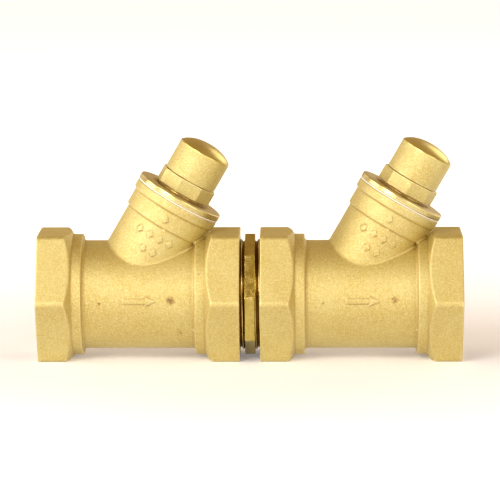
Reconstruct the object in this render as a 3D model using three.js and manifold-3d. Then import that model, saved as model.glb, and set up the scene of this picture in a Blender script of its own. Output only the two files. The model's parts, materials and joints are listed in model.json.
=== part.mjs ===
// Two brass Y strainers in series, joined by a double male nipple.
// Millimetres, +Z up. Water flows along +X. The origin is under the middle of the nipple, on the plane that the
// lower hexagon flats rest on. Each unit has its own frame, with its origin where the branch axis meets the pipe
// axis, and each branch has a frame whose +Z runs along the branch axis and whose XZ plane is the unit's.

import * as THREE from 'three';
import { mergeVertices } from 'three/addons/utils/BufferGeometryUtils.js';
import Module from 'manifold-3d';

const wasm = await Module();
wasm.setup();

// Driving dimensions. Radii unless a name says otherwise; "from" and "to" are places along an axis.
const FULL_TURN = 2 * Math.PI;
const BRANCH_LEAN = Math.PI / 6; // between the branch axis and the vertical
const SEGMENTS = { run: 32, branch: 28, inner: 24, small: 16 };
const GAP = 0.3; // running clearance, and between the crests of mating threads
const FACE_GAP = 0.1; // between faces that rest on each other

const UNIT = { length: 108, inlet: -45.2 }; // the inlet end face, from the branch axis
UNIT.outlet = UNIT.inlet + UNIT.length;
const NIPPLE = {
  collarLength: 5.5,
  collarFlats: 60.2,
  collarTurn: THREE.MathUtils.degToRad(18.8),
  showing: 2.6, // thread that shows on each side of the collar
  engaged: 20,
  thread: 29.7,
  bore: 25,
  chamfer: 1,
};
const HEXAGON = { flats: 67.8, length: 15.2, chamfer: 0.8, shoulderTo: 18.5 }; // length at the corners
const RING = { radius: 32.4, length: 5.3, fillet: 2 };
const BARREL = { radius: 29, bore: 26 };
const SOCKET = { bore: 30, depth: 22, chamfer: 0.8 };
const ARROW = { length: 18, shaft: 2.6, head: 5.4, headLength: 5.6, height: 0.6, shift: 9.3 };

const BRANCH = { radius: 21.7, bore: 18.4, shoulder: 47, threadBore: 20 };
const BAND = { radius: 22.8, from: 44.3, to: 52.4, groove: 22.5 };
const RIM = { radius: 23.9, from: 54.2, to: 59, edge: 0.5 };
const SEAT = { at: -5, thickness: 3, hole: 13.5, lipRadius: 15.5, lipHeight: 1, plateReach: 19.5 };

const GASKET = { inner: 20.1, outer: 23.9, thickness: 0.5 };
const BONNET = {
  disc: 24.05,
  discLength: 3.1,
  edge: 0.5,
  hub: 13.9,
  octagonFlats: 29.6,
  octagonFrom: 64.1,
  octagonTo: 72.05,
  octagonEdge: 0.4,
  noseTo: 80,
  noseThread: 11.7,
  recess: 8.5,
  recessFrom: 72,
  plugThread: 19.7,
  spigot: 15.9,
  spigotFrom: 45,
  snout: 10.5,
  snoutFrom: 33,
  sealBoreFrom: 54.6,
};
const CAP = {
  radius: 14.6,
  from: 72.2,
  cylinderTo: 88.5,
  domeTo: 93.4,
  threadBore: 12,
  shoulder: 81.8,
  cavity: 8.5,
  cavityTo: 88.2,
  edge: 0.3,
};
const CAP_SEAL = { inner: 8.8, outer: 11.6, from: 80.1, to: 81.7 };

const SPINDLE = {
  end: 4,
  shank: 5.5,
  thread: 7,
  threadFrom: 33.4,
  threadTo: 45.2,
  stem: 6,
  squareFrom: 68,
  top: 77.5,
  squareFlats: 8,
};
const O_RING = { inner: 4.7, outer: 6.2, width: 1.8, grooveRadius: 4.4, grooveWidth: 2.2, lower: 56, upper: 59.8 };
const DISC = { radius: 15.8, thickness: 5, hub: 9, hubHeight: 1.6, hole: 4.3 };
const DISC_SEAL = { radius: 15.4, thickness: 2.4 };
const SEAL_WASHER = { radius: 9, thickness: 1.5 };
const DISC_NUT = { flats: 12, thickness: 3.4 };

const SCREEN = { inner: 16.7, outer: 17.5, columns: 10, rows: 4, holeRadius: 3.4 };
const SCREEN_RING = { inner: 16.3, outer: 18, base: 1, skirt: 2, skirtInner: 17.6 };

const sealBottom = SEAT.at + SEAT.lipHeight + FACE_GAP;
const discFrom = sealBottom + DISC_SEAL.thickness + FACE_GAP;
const discHubTo = discFrom + DISC.thickness + DISC.hubHeight;
const washerFrom = sealBottom - FACE_GAP - SEAL_WASHER.thickness;
const nutFrom = washerFrom - FACE_GAP - DISC_NUT.thickness;
const discBase = RIM.to + FACE_GAP + GASKET.thickness + FACE_GAP;
const discTop = discBase + BONNET.discLength;
const screenFrom = SEAT.at + FACE_GAP + SCREEN_RING.base + FACE_GAP;
const upperRingTo = BRANCH.shoulder + 0.2;
const screenTo = upperRingTo - SCREEN_RING.base - FACE_GAP;
const halfGap = NIPPLE.collarLength / 2 + NIPPLE.showing;

// Materials.
const castBrass = new THREE.MeshStandardMaterial({ color: 0xcfae55, roughness: 0.55, metalness: 0.9 });
const turnedBrass = new THREE.MeshStandardMaterial({ color: 0xc79a3f, roughness: 0.3, metalness: 0.95 });
const stainless = new THREE.MeshStandardMaterial({ color: 0xb8babb, roughness: 0.35, metalness: 0.9 });
const whitePtfe = new THREE.MeshStandardMaterial({ color: 0xeeeae0, roughness: 0.6, metalness: 0 });
const blackRubber = new THREE.MeshStandardMaterial({ color: 0x1c1c1c, roughness: 0.8, metalness: 0 });

// A closed three.js geometry as a solid that can be joined and cut.
function solid(geometry) {
  const bare = geometry.clone();
  bare.deleteAttribute('normal');
  bare.deleteAttribute('uv');
  const merged = mergeVertices(bare);
  const corners = merged.index.array;
  const triangles = [];
  for (let i = 0; i < corners.length; i += 3) {
    const [a, b, c] = corners.slice(i, i + 3);
    if (a !== b && b !== c && c !== a) {
      triangles.push(a, b, c);
    }
  }
  const vertProperties = merged.attributes.position.array;
  const mesh = new wasm.Mesh({ numProp: 3, vertProperties, triVerts: Uint32Array.from(triangles) });
  return new wasm.Manifold(mesh);
}

// A named mesh made from a solid.
function piece(name, shape, material) {
  const { vertProperties, triVerts } = shape.getMesh();
  const geometry = new THREE.BufferGeometry();
  geometry.setAttribute('position', new THREE.BufferAttribute(vertProperties, 3));
  geometry.setIndex(new THREE.BufferAttribute(triVerts, 1));
  geometry.computeVertexNormals();
  const mesh = new THREE.Mesh(geometry, material);
  mesh.name = name;
  return mesh;
}

// A closed outline of [radius, height] points, anticlockwise, turned about +Z.
function turned(outline, segments) {
  const points = [...outline, outline[0]].map(([radius, height]) => new THREE.Vector2(radius, height));
  return new THREE.LatheGeometry(points, segments).rotateX(Math.PI / 2);
}

// A full cylinder about +Z.
function rod(radius, from, to, segments) {
  return turned([[0, from], [radius, from], [radius, to], [0, to]], segments);
}

// A ring about +Z with square edges.
function ring(inner, outer, from, to, segments) {
  return turned([[inner, from], [outer, from], [outer, to], [inner, to]], segments);
}

// A regular prism about +Z, with a flat facing +X before it is turned.
function prism(sides, flats, from, to, turn = 0) {
  const cornerRadius = flats / 2 / Math.cos(Math.PI / sides);
  const shape = new THREE.Shape();
  for (let i = 0; i < sides; i += 1) {
    const angle = turn + ((i + 0.5) * FULL_TURN) / sides;
    const corner = [cornerRadius * Math.cos(angle), cornerRadius * Math.sin(angle)];
    if (i === 0) {
      shape.moveTo(...corner);
    } else {
      shape.lineTo(...corner);
    }
  }
  return new THREE.ExtrudeGeometry(shape, { depth: to - from, bevelEnabled: false }).translate(0, 0, from);
}

// Turns a geometry whose axis is +Z so that its axis is +X.
function alongX(geometry) {
  return geometry.rotateY(Math.PI / 2);
}

// Turns and leans a geometry in the branch frame into the unit's frame.
function alongBranch(geometry) {
  return geometry.rotateY(BRANCH_LEAN);
}

// The outside of the pipe run between the hexagons: two ring collars and the barrel.
function runOutside() {
  const neck = HEXAGON.length - 1;
  const ringTo = HEXAGON.shoulderTo + RING.length;
  const filletTo = ringTo + RING.fillet;
  const half = [
    [RING.radius, neck],
    [RING.radius, ringTo],
    [BARREL.radius + RING.fillet * 0.3, ringTo + RING.fillet * 0.3],
    [BARREL.radius, filletTo],
  ];
  const far = half.map(([radius, place]) => [radius, UNIT.length - place]).reverse();
  const outline = [[0, neck], ...half, ...far, [0, UNIT.length - neck]];
  return solid(alongX(turned(outline, SEGMENTS.run)).translate(UNIT.inlet, 0, 0));
}

// One hexagonal end, with a small chamfer at its face and a cone down to the ring collar behind it.
function hexagonEnd(place) {
  const corner = HEXAGON.flats / Math.sqrt(3);
  const envelope = [
    [0, 0],
    [corner - HEXAGON.chamfer, 0],
    [corner, HEXAGON.chamfer],
    [corner, HEXAGON.length],
    [RING.radius, HEXAGON.shoulderTo],
    [0, HEXAGON.shoulderTo],
  ];
  const hexagon = place(alongX(prism(6, HEXAGON.flats, 0, HEXAGON.shoulderTo)));
  return solid(hexagon).intersect(solid(place(alongX(turned(envelope, SEGMENTS.run)))));
}

// Places an end on the inlet side of a unit.
function atInlet(geometry) {
  return geometry.translate(UNIT.inlet, 0, 0);
}

// Places an end on the outlet side of a unit, facing the other way.
function atOutlet(geometry) {
  return geometry.rotateZ(Math.PI).translate(UNIT.outlet, 0, 0);
}

// The outside of the branch: tube, second band, groove and rim.
function branchOutside() {
  const outline = [
    [0, 4],
    [BRANCH.radius, 4],
    [BRANCH.radius, BAND.from - 0.6],
    [BAND.radius, BAND.from],
    [BAND.radius, BAND.to],
    [BAND.groove, BAND.to + 0.3],
    [BAND.groove, RIM.from - 0.5],
    [RIM.radius, RIM.from],
    [RIM.radius, RIM.to - RIM.edge],
    [RIM.radius - RIM.edge, RIM.to],
    [0, RIM.to],
  ];
  return solid(alongBranch(turned(outline, SEGMENTS.branch)));
}

// The raised flow arrow on the front of the barrel.
function flowArrow() {
  const tail = ARROW.shift - ARROW.length / 2;
  const neck = ARROW.shift + ARROW.length / 2 - ARROW.headLength;
  const shape = new THREE.Shape();
  shape.moveTo(tail, -ARROW.shaft / 2);
  shape.lineTo(neck, -ARROW.shaft / 2);
  shape.lineTo(neck, -ARROW.head / 2);
  shape.lineTo(ARROW.shift + ARROW.length / 2, 0);
  shape.lineTo(neck, ARROW.head / 2);
  shape.lineTo(neck, ARROW.shaft / 2);
  shape.lineTo(tail, ARROW.shaft / 2);
  const arrow = new THREE.ExtrudeGeometry(shape, { depth: 4, bevelEnabled: false });
  arrow.rotateX(Math.PI / 2).translate(0, 3 - BARREL.radius, 0);
  const skin = rod(BARREL.radius + ARROW.height, UNIT.inlet, UNIT.outlet, SEGMENTS.run);
  return solid(arrow).intersect(solid(alongX(skin)));
}

// The pipe bore with a threaded socket at each end. The sockets are as wide as the roots of their threads.
function runHollow() {
  const mouth = SOCKET.bore + SOCKET.chamfer;
  const outside = 1;
  const half = [
    [mouth, -outside],
    [mouth, 0],
    [SOCKET.bore, SOCKET.chamfer],
    [SOCKET.bore, SOCKET.depth],
    [BARREL.bore, SOCKET.depth + 1],
  ];
  const far = half.map(([radius, place]) => [radius, UNIT.length - place]).reverse();
  const outline = [[0, -outside], ...half, ...far, [0, UNIT.length + outside]];
  return solid(alongX(turned(outline, SEGMENTS.run)).translate(UNIT.inlet, 0, 0));
}

// A point of the branch frame's XZ plane, in the unit's XZ plane.
function branchPoint(across, along) {
  const sin = Math.sin(BRANCH_LEAN);
  const cos = Math.cos(BRANCH_LEAN);
  return [along * sin + across * cos, along * cos - across * sin];
}

// The S-shaped wall between the inlet and the outlet side, which carries the seat.
function partition() {
  const top = 24;
  const floor = -BARREL.bore - 1;
  const under = SEAT.at - SEAT.thickness;
  const back = -BRANCH.bore - SEAT.thickness;
  const [wallX] = branchPoint(SEAT.plateReach, SEAT.at);
  const wallLeft = wallX - SEAT.thickness;
  const acrossUnder = (wallLeft - under * Math.sin(BRANCH_LEAN)) / Math.cos(BRANCH_LEAN);
  const outline = [
    branchPoint(back, top),
    branchPoint(back, under),
    branchPoint(acrossUnder, under),
    [wallLeft, floor],
    [wallX, floor],
    branchPoint(SEAT.plateReach, SEAT.at),
    branchPoint(-BRANCH.bore, SEAT.at),
    branchPoint(-BRANCH.bore, top),
  ];
  const shape = new THREE.Shape(outline.map(([x, z]) => new THREE.Vector2(x, z)));
  const width = 2 * BARREL.bore + 4;
  const wall = new THREE.ExtrudeGeometry(shape, { depth: width, bevelEnabled: false });
  wall.rotateX(Math.PI / 2).translate(0, width / 2, 0);
  const bore = rod(BARREL.bore + 0.4, UNIT.inlet, UNIT.outlet, SEGMENTS.run);
  return solid(wall).intersect(solid(alongX(bore)));
}

// The chamber for the screen, the bonnet's thread bore above it and the seat hole below it.
function branchHollow() {
  const outline = [
    [0, SEAT.at - 10],
    [SEAT.hole, SEAT.at - 10],
    [SEAT.hole, SEAT.at + SEAT.lipHeight],
    [SEAT.lipRadius, SEAT.at + SEAT.lipHeight],
    [SEAT.lipRadius, SEAT.at],
    [BRANCH.bore, SEAT.at],
    [BRANCH.bore, BRANCH.shoulder],
    [BRANCH.threadBore, BRANCH.shoulder],
    [BRANCH.threadBore, RIM.to - 0.4],
    [BRANCH.threadBore + 0.4, RIM.to],
    [BRANCH.threadBore + 0.4, RIM.to + 1],
    [0, RIM.to + 1],
  ];
  return solid(alongBranch(turned(outline, SEGMENTS.branch)));
}

// The low ring around the seat hole that the disc closes on.
function seatLip() {
  const lip = ring(SEAT.hole, SEAT.lipRadius, SEAT.at - 1, SEAT.at + SEAT.lipHeight, SEGMENTS.branch);
  return solid(alongBranch(lip));
}

// The cast and machined body, in the unit's frame.
function body(prefix) {
  const ends = hexagonEnd(atInlet).add(hexagonEnd(atOutlet));
  const outside = runOutside().add(ends).add(branchOutside()).add(flowArrow());
  const shell = outside.subtract(runHollow()).add(partition());
  const shape = shell.subtract(branchHollow()).add(seatLip());
  return piece(`${prefix}_body`, shape, castBrass);
}

// The double male nipple with its octagonal collar, about +X at the origin.
function joiningNipple() {
  const end = halfGap + NIPPLE.engaged;
  const outline = [
    [NIPPLE.bore, -end],
    [NIPPLE.thread - NIPPLE.chamfer, -end],
    [NIPPLE.thread, NIPPLE.chamfer - end],
    [NIPPLE.thread, end - NIPPLE.chamfer],
    [NIPPLE.thread - NIPPLE.chamfer, end],
    [NIPPLE.bore, end],
  ];
  const half = NIPPLE.collarLength / 2;
  const bore = solid(alongX(rod(NIPPLE.bore, -half - 1, half + 1, SEGMENTS.run)));
  const collar = solid(alongX(prism(8, NIPPLE.collarFlats, -half, half, NIPPLE.collarTurn)));
  const shape = solid(alongX(turned(outline, SEGMENTS.run))).add(collar.subtract(bore));
  return piece('joining_nipple', shape, turnedBrass);
}

// The flat sealing ring between the branch rim and the bonnet.
function bonnetGasket(prefix) {
  const from = RIM.to + FACE_GAP;
  const shape = solid(ring(GASKET.inner, GASKET.outer, from, from + GASKET.thickness, SEGMENTS.branch));
  return piece(`${prefix}_bonnet_gasket`, shape, whitePtfe);
}

// The bonnet: plug, disc, octagon and threaded nose, bored for the spindle.
function bonnet(prefix, octagonTurn) {
  const outline = [
    [SPINDLE.thread + GAP, BONNET.snoutFrom],
    [BONNET.snout, BONNET.snoutFrom],
    [BONNET.snout, BONNET.spigotFrom],
    [BONNET.spigot, BONNET.spigotFrom],
    [BONNET.spigot, BRANCH.shoulder + GAP],
    [BONNET.plugThread, BRANCH.shoulder + GAP],
    [BONNET.plugThread, discBase],
    [BONNET.disc - BONNET.edge, discBase],
    [BONNET.disc, discBase + BONNET.edge],
    [BONNET.disc, discTop - BONNET.edge],
    [BONNET.disc - BONNET.edge, discTop],
    [BONNET.hub, discTop],
    [BONNET.hub, BONNET.octagonFrom + 1],
    [BONNET.noseThread, BONNET.octagonFrom + 1],
    [BONNET.noseThread, BONNET.noseTo],
    [BONNET.recess, BONNET.noseTo],
    [BONNET.recess, BONNET.recessFrom],
    [SPINDLE.stem + GAP, BONNET.recessFrom],
    [SPINDLE.stem + GAP, BONNET.sealBoreFrom],
    [SPINDLE.thread + GAP, BONNET.sealBoreFrom],
  ];
  const corner = BONNET.octagonFlats / 2 / Math.cos(Math.PI / 8);
  const envelope = [
    [10, BONNET.octagonFrom],
    [corner + 0.1, BONNET.octagonFrom],
    [corner + 0.1, BONNET.octagonTo - BONNET.octagonEdge],
    [corner - BONNET.octagonEdge, BONNET.octagonTo],
    [10, BONNET.octagonTo],
  ];
  const flats = solid(prism(8, BONNET.octagonFlats, BONNET.octagonFrom, BONNET.octagonTo, octagonTurn));
  const octagon = flats.intersect(solid(turned(envelope, SEGMENTS.branch)));
  const shape = solid(turned(outline, SEGMENTS.branch)).add(octagon);
  return piece(`${prefix}_bonnet`, shape, turnedBrass);
}

// The domed cap, with a thread bore, a shoulder for its seal and a cavity for the raised spindle.
function cap(prefix) {
  const steps = 5;
  const rise = CAP.domeTo - CAP.cylinderTo;
  const dome = [];
  for (let i = 0; i <= steps; i += 1) {
    const share = Math.cos((Math.PI / 2) * (i / steps));
    dome.push([CAP.radius * share, CAP.cylinderTo + rise * (1 - share ** 2.3) ** 0.8]);
  }
  const outline = [
    [CAP.threadBore, CAP.from],
    [CAP.radius - CAP.edge, CAP.from],
    [CAP.radius, CAP.from + CAP.edge],
    ...dome,
    [0, CAP.cavityTo],
    [CAP.cavity, CAP.cavityTo],
    [CAP.cavity, CAP.shoulder],
    [CAP.threadBore, CAP.shoulder],
  ];
  return piece(`${prefix}_cap`, solid(turned(outline, SEGMENTS.branch)), castBrass);
}

// The flat rubber ring between the bonnet's nose and the cap's shoulder.
function capSeal(prefix) {
  const shape = solid(ring(CAP_SEAL.inner, CAP_SEAL.outer, CAP_SEAL.from, CAP_SEAL.to, SEGMENTS.inner));
  return piece(`${prefix}_cap_seal`, shape, blackRubber);
}

// The shut-off spindle: plain lower end, shank, thread, stem with two seal grooves, and a square drive.
function spindle(prefix) {
  const groove = (from) => [
    [SPINDLE.stem, from],
    [O_RING.grooveRadius, from],
    [O_RING.grooveRadius, from + O_RING.grooveWidth],
    [SPINDLE.stem, from + O_RING.grooveWidth],
  ];
  const outline = [
    [0, nutFrom - 0.6],
    [SPINDLE.end, nutFrom - 0.6],
    [SPINDLE.end, discHubTo + FACE_GAP],
    [SPINDLE.shank, discHubTo + FACE_GAP],
    [SPINDLE.shank, SPINDLE.threadFrom - 1],
    [SPINDLE.thread, SPINDLE.threadFrom],
    [SPINDLE.thread, SPINDLE.threadTo],
    [SPINDLE.stem, SPINDLE.threadTo + 0.6],
    ...groove(O_RING.lower),
    ...groove(O_RING.upper),
    [SPINDLE.stem, SPINDLE.squareFrom],
    [0, SPINDLE.squareFrom],
  ];
  const square = solid(prism(4, SPINDLE.squareFlats, SPINDLE.squareFrom - 1, SPINDLE.top));
  const shape = solid(turned(outline, SEGMENTS.small)).add(square);
  return piece(`${prefix}_spindle`, shape, turnedBrass);
}

// One sealing ring of the spindle, with a six-sided section, in the groove that starts at the given place.
function oRing(prefix, place, grooveFrom) {
  const sides = 6;
  const middle = grooveFrom + O_RING.grooveWidth / 2;
  const centre = (O_RING.inner + O_RING.outer) / 2;
  const halfHigh = O_RING.width / 2;
  const halfWide = (O_RING.outer - O_RING.inner) / 2;
  const outline = [];
  for (let i = 0; i < sides; i += 1) {
    const angle = ((i + 0.5) * FULL_TURN) / sides;
    outline.push([centre + halfWide * Math.cos(angle), middle + halfHigh * Math.sin(angle)]);
  }
  return piece(`${prefix}_spindle_${place}_o_ring`, solid(turned(outline, SEGMENTS.small)), blackRubber);
}

// The shut-off disc on the lower end of the spindle.
function disc(prefix) {
  const outline = [
    [DISC.hole, discFrom],
    [DISC.radius, discFrom],
    [DISC.radius, discFrom + DISC.thickness - 1],
    [DISC.radius - 1, discFrom + DISC.thickness],
    [DISC.hub, discFrom + DISC.thickness],
    [DISC.hub, discHubTo],
    [DISC.hole, discHubTo],
  ];
  return piece(`${prefix}_disc`, solid(turned(outline, SEGMENTS.inner)), turnedBrass);
}

// The soft ring under the disc that closes on the seat.
function discSeal(prefix) {
  const shape = solid(ring(DISC.hole, DISC_SEAL.radius, sealBottom, discFrom - FACE_GAP, SEGMENTS.inner));
  return piece(`${prefix}_disc_seal`, shape, blackRubber);
}

// The washer that clamps the soft ring to the disc.
function sealWasher(prefix) {
  const shape = solid(ring(DISC.hole, SEAL_WASHER.radius, washerFrom, sealBottom - FACE_GAP, SEGMENTS.inner));
  return piece(`${prefix}_seal_washer`, shape, stainless);
}

// The hexagon nut on the lower end of the spindle.
function discNut(prefix) {
  const hole = rod(DISC.hole, nutFrom - 1, washerFrom + 1, SEGMENTS.small);
  const shape = solid(prism(6, DISC_NUT.flats, nutFrom, nutFrom + DISC_NUT.thickness)).subtract(solid(hole));
  return piece(`${prefix}_disc_nut`, shape, turnedBrass);
}

// The perforated strainer cylinder, with staggered rows of lozenge holes.
function screen(prefix) {
  let shape = solid(ring(SCREEN.inner, SCREEN.outer, screenFrom, screenTo, SEGMENTS.inner));
  const pitch = (screenTo - screenFrom) / (SCREEN.rows + 0.5);
  for (let row = 0; row < SCREEN.rows; row += 1) {
    for (let column = 0; column < SCREEN.columns / 2; column += 1) {
      const cutter = new THREE.CylinderGeometry(SCREEN.holeRadius, SCREEN.holeRadius, 40, 4);
      const turn = ((column + (row % 2) / 2) * FULL_TURN) / SCREEN.columns;
      cutter.rotateZ(Math.PI / 2).rotateZ(turn).translate(0, 0, screenFrom + pitch * (row + 0.75));
      shape = shape.subtract(solid(cutter));
    }
  }
  return piece(`${prefix}_screen`, shape, stainless);
}

// A ring with a base under the screen's end and a skirt around it.
function screenRing(prefix, place) {
  const isLower = place === 'lower';
  const end = isLower ? SEAT.at + FACE_GAP : upperRingTo;
  const into = isLower ? 1 : -1;
  const outline = [
    [SCREEN_RING.inner, end],
    [SCREEN_RING.outer, end],
    [SCREEN_RING.outer, end + into * (SCREEN_RING.base + SCREEN_RING.skirt)],
    [SCREEN_RING.skirtInner, end + into * (SCREEN_RING.base + SCREEN_RING.skirt)],
    [SCREEN_RING.skirtInner, end + into * SCREEN_RING.base],
    [SCREEN_RING.inner, end + into * SCREEN_RING.base],
  ];
  const ordered = isLower ? outline : outline.reverse();
  const shape = solid(turned(ordered, SEGMENTS.inner));
  return piece(`${prefix}_screen_${place}_ring`, shape, stainless);
}

// Everything that lies on the branch axis of one unit.
function branchPieces(prefix, octagonTurn) {
  const group = new THREE.Group();
  group.add(
    screen(prefix),
    screenRing(prefix, 'lower'),
    screenRing(prefix, 'upper'),
    bonnetGasket(prefix),
    bonnet(prefix, octagonTurn),
    spindle(prefix),
    oRing(prefix, 'lower', O_RING.lower),
    oRing(prefix, 'upper', O_RING.upper),
    disc(prefix),
    discSeal(prefix),
    sealWasher(prefix),
    discNut(prefix),
    capSeal(prefix),
    cap(prefix),
  );
  group.rotation.y = BRANCH_LEAN;
  return group;
}

// One whole strainer, placed so that its branch axis meets the pipe axis at the given X.
function unit(prefix, x, octagonTurn) {
  const group = new THREE.Group();
  group.add(body(prefix), branchPieces(prefix, octagonTurn));
  group.position.set(x, 0, 0);
  return group;
}

const eighth = Math.PI / 8;
const assembly = new THREE.Group();
assembly.add(
  unit('upstream', -halfGap - UNIT.outlet, eighth * 0.33),
  joiningNipple(),
  unit('downstream', halfGap - UNIT.inlet, eighth),
);
assembly.position.z = HEXAGON.flats / 2;

const strainers = new THREE.Group();
strainers.add(assembly);

export default strainers;
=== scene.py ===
"""Looks of two brass Y strainers in series.

Each unit has a cast body, a turned bonnet and a domed cap, and a short nipple joins the two.
"""

import json
import math

import bpy
import numpy as np
from mathutils import Matrix, Quaternion, Vector


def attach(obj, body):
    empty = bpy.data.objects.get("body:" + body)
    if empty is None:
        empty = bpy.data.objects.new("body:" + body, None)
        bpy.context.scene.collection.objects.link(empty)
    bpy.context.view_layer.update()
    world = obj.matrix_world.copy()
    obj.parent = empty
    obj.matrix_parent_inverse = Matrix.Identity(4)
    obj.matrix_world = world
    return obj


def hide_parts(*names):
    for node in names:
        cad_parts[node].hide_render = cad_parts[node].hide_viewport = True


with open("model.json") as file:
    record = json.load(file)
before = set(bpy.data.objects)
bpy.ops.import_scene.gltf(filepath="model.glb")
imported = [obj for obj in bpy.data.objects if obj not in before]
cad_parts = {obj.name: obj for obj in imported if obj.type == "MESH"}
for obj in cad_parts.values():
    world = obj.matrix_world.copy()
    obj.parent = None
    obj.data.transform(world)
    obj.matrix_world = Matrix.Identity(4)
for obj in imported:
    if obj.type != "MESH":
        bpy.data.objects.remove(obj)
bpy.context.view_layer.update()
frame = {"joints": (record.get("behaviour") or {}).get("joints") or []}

# Shapes are worked out in millimetres and turned into metres when a mesh is made.
MM = 0.001
FULL_TURN = 2 * math.pi
LEAN_SIN = 0.5
LEAN_COS = math.sqrt(3) / 2
UNITS = ("upstream", "downstream")

# Driving dimensions, as in the frame. "end" is the distance in from the nearer end face of a unit.
UNIT_LENGTH = 108.0
UNIT_MIDDLE = 8.8
HEXAGON_HALF = 33.9
HEXAGON_EDGE = 1.7
SHOULDER_END = 18.5
RING_RADIUS = 32.4
RING_END = 23.9
BARREL_RADIUS = 29.0
BORE = 26.0
SOCKET = 30.0
SOCKET_DEPTH = 22.0
BRANCH_RADIUS = 21.7
BAND_RADIUS = 22.8
BAND_FROM = 44.3
RIM_RADIUS = 23.9
RIM_FROM = 53.9
RIM_TO = 59.0
CHAMBER = 18.4
CHAMBER_TO = 47.0
PLUG_BORE = 20.0
SEAT_AT = -5.0
SEAT_HOLE = 13.5
SEAT_LIP = 15.5
PIPE_PITCH = 2.309
FINE_PITCH = 1.5
SPINDLE_PITCH = 3.0
GASKET_FROM = 59.1
GASKET_TO = 59.6
DISC_RADIUS = 24.05
DISC_FROM = 59.7
DISC_TOP = 62.8
OCTAGON_HALF = 14.8
OCTAGON_FROM = 64.1
OCTAGON_TO = 72.05
OCTAGON_TURN = {"upstream": math.radians(7.4), "downstream": math.radians(22.5)}
HUB_RADIUS = 13.9
PLUG_FROM = 47.3
PLUG_RADIUS = 18.75
SPIGOT_FROM = 45.0
SPIGOT_RADIUS = 15.9
SNOUT_FROM = 33.0
SNOUT_RADIUS = 10.5
NOSE_RADIUS = 10.75
NOSE_TO = 80.0
STEM_BORE = 6.3
CAP_FROM = 72.2
CAP_RADIUS = 14.6
CAP_EDGE = 88.5
CAP_TOP = 93.4
CAP_BORE = 12.02
CAP_SHOULDER = 81.8
CAP_CEILING = 88.2
SPINDLE_THREAD = (33.4, 45.2)
LOWER_GROOVE = 56.0
UPPER_GROOVE = 59.8
GROOVE_WIDTH = 2.2
SQUARE_HALF = 4.0
SQUARE_TO = 77.5
NUT_MIDDLE = -7.4
NUT_HALF_HEIGHT = 1.7
NIPPLE_BORE = 25.0
NIPPLE_ROOT = 28.35
NIPPLE_CREST = 29.65
COLLAR_HALF_WIDTH = 2.75
SCREEN_INNER = 16.7
SCREEN_OUTER = 17.5
RUN_END = 113.35

# Stains on the front of the barrel: place along the run, height, reach and strength.
BODY_STAINS = ((26.4, 0.8, 3.4, 0.8), (-11.7, -0.8, 1.5, 0.8), (31.0, -17.0, 5.0, 0.55), (15.0, -12.0, 4.0, 0.45))
STAIN_STRENGTH = {"upstream": 1.0, "downstream": 0.86}

# Colours, in linear light.
BLASTED_LIGHT = (0.57, 0.465, 0.14)
BLASTED_DEEP = (0.52, 0.375, 0.05)
BLASTED_STAIN_AND_SHADE = (0.38, 0.22, 0.03)
BLASTED_EDGE = (0.84, 0.74, 0.42)
PALE_GRAIN = (0.69, 0.62, 0.31)
DARK_SPECK = (0.12, 0.07, 0.04)
TURNED_LIGHT = (0.7, 0.63, 0.36)
TURNED_DEEP = (0.58, 0.48, 0.22)
TURNED_STAIN_AND_SHADE = (0.34, 0.22, 0.07)
DOME_LIGHT = (0.66, 0.55, 0.16)
DOME_DEEP = (0.56, 0.44, 0.09)
CAP_EDGE_WEAR = (0.8, 0.77, 0.55)
CAP_SPECK = (0.3, 0.2, 0.06)
NIPPLE_LIGHT = (0.62, 0.52, 0.2)
NIPPLE_DEEP = (0.48, 0.38, 0.1)
THREAD_ROOT_SHADE = (0.2, 0.1, 0.03)
THREAD_CREST = (0.78, 0.68, 0.38)
NIPPLE_SPECK = (0.14, 0.07, 0.02)
PAPER_LIGHT = (0.88, 0.88, 0.89)
PAPER_DEEP = (0.86, 0.86, 0.87)
FLOOR_GLOW_NEAR = (0.15, 0.15, 0.18)
FLOOR_GLOW_FAR = (0.48, 0.54, 0.62)
SKY_LIGHT = (0.46, 0.32, 0.16, 1.0)
SKY_SEEN = (1.0, 1.0, 1.0, 1.0)

# Softboxes: name, place, width and height in metres, and power in watts.
LIGHTS = (
    ("key_front_left", (-0.75, -1.3, 0.75), (0.9, 0.9), 16.2),
    ("left_side", (-1.4, -0.1, 0.5), (0.8, 0.9), 7.2),
    ("fill_front_right", (1.2, -1.2, 0.55), (0.9, 0.9), 9.0),
    ("back_left", (-1.1, 1.3, 0.8), (0.9, 0.9), 1.5),
    ("back_right", (1.1, 1.3, 0.8), (0.9, 0.9), 4.2),
)
LIGHTS_AIM = (0, 0, 0.05)
FLOOR_HALF = 30.0


# ---------------------------------------------------------------------------------------------------- solid shapes


def join(a, b, fillet=0.0):
    """Union of two distance fields, with a concave fillet between them."""
    if fillet == 0:
        return np.minimum(a, b)
    corner = np.hypot(np.maximum(fillet - a, 0), np.maximum(fillet - b, 0))
    return np.maximum(fillet, np.minimum(a, b)) - corner


def common(a, b, edge=0.0):
    """Intersection of two distance fields, with a rounded edge."""
    if edge == 0:
        return np.maximum(a, b)
    corner = np.hypot(np.maximum(edge + a, 0), np.maximum(edge + b, 0))
    return np.minimum(-edge, np.maximum(a, b)) + corner


def polygon(x, y, corners):
    """Distance field of a closed outline in a plane."""
    nearest = np.full(np.shape(x), np.inf)
    sign = np.ones(np.shape(x))
    for (ax, ay), (bx, by) in zip(corners, corners[1:] + corners[:1]):
        ex, ey, wx, wy = bx - ax, by - ay, x - ax, y - ay
        along = np.clip((wx * ex + wy * ey) / (ex * ex + ey * ey), 0, 1)
        nearest = np.minimum(nearest, (wx - ex * along) ** 2 + (wy - ey * along) ** 2)
        above, below, left = y >= ay, y < by, ex * wy > ey * wx
        sign = np.where((above & below & left) | ~(above | below | left), -sign, sign)
    return sign * np.sqrt(nearest)


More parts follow.
